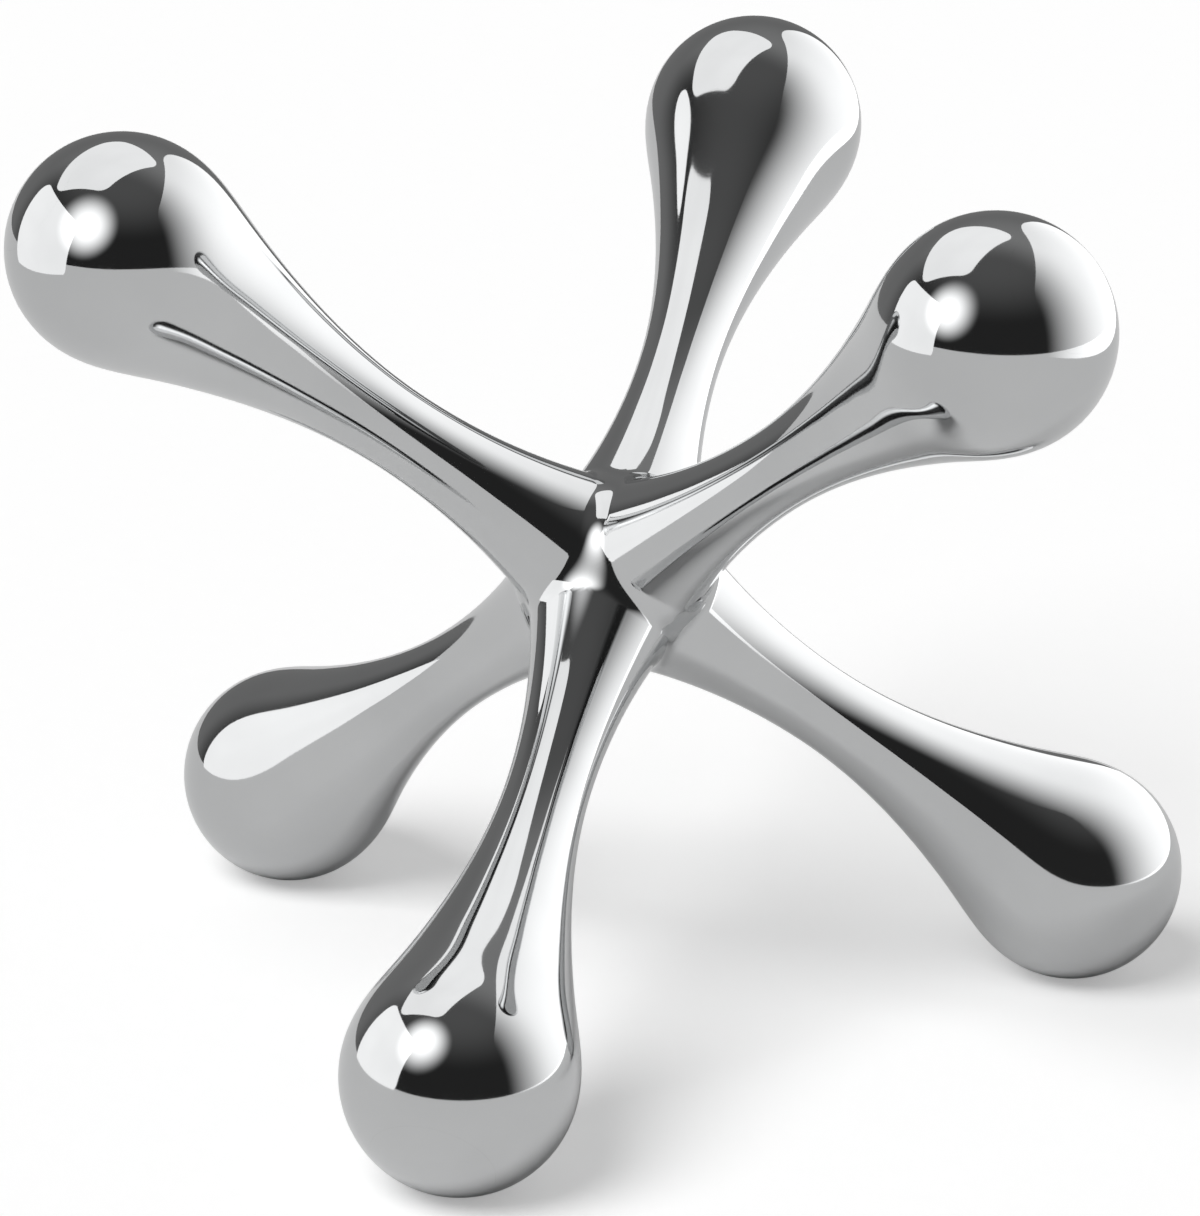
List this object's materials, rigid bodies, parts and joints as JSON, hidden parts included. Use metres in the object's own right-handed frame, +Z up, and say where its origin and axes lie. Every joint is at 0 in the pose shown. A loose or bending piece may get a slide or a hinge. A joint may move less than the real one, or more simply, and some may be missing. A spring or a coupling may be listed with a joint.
{
  "type": "magnetic desk sculpture",
  "caption": "Polished six-armed jack with ball ends and a magnet sealed in each ball, standing on three of them as a desk sculpture and clip holder.",
  "frame": {"origin": "on the desk, straight below the middle of the hub, in the plane of the three balls that it stands on", "axes": "+Z up, along the jack's upright body diagonal; -Y along the lower front arm seen from above, so that the upper back arm lies over +Y; +X to the right"},
  "size_m": [0.0896, 0.1004, 0.0765],
  "materials": {
    "casting": "polished",
    "cap": "polished",
    "magnet": "satin"
  },
  "bodies": {
    "root": {"jack_casting": "casting", "magnet_lower_front": "magnet", "magnet_lower_right": "magnet", "magnet_lower_left": "magnet", "magnet_upper_back": "magnet", "magnet_upper_right": "magnet", "magnet_upper_left": "magnet", "end_cap_lower_front": "cap", "end_cap_lower_right": "cap", "end_cap_lower_left": "cap", "end_cap_upper_back": "cap", "end_cap_upper_right": "cap", "end_cap_upper_left": "cap"}
  },
  "joints": []
}
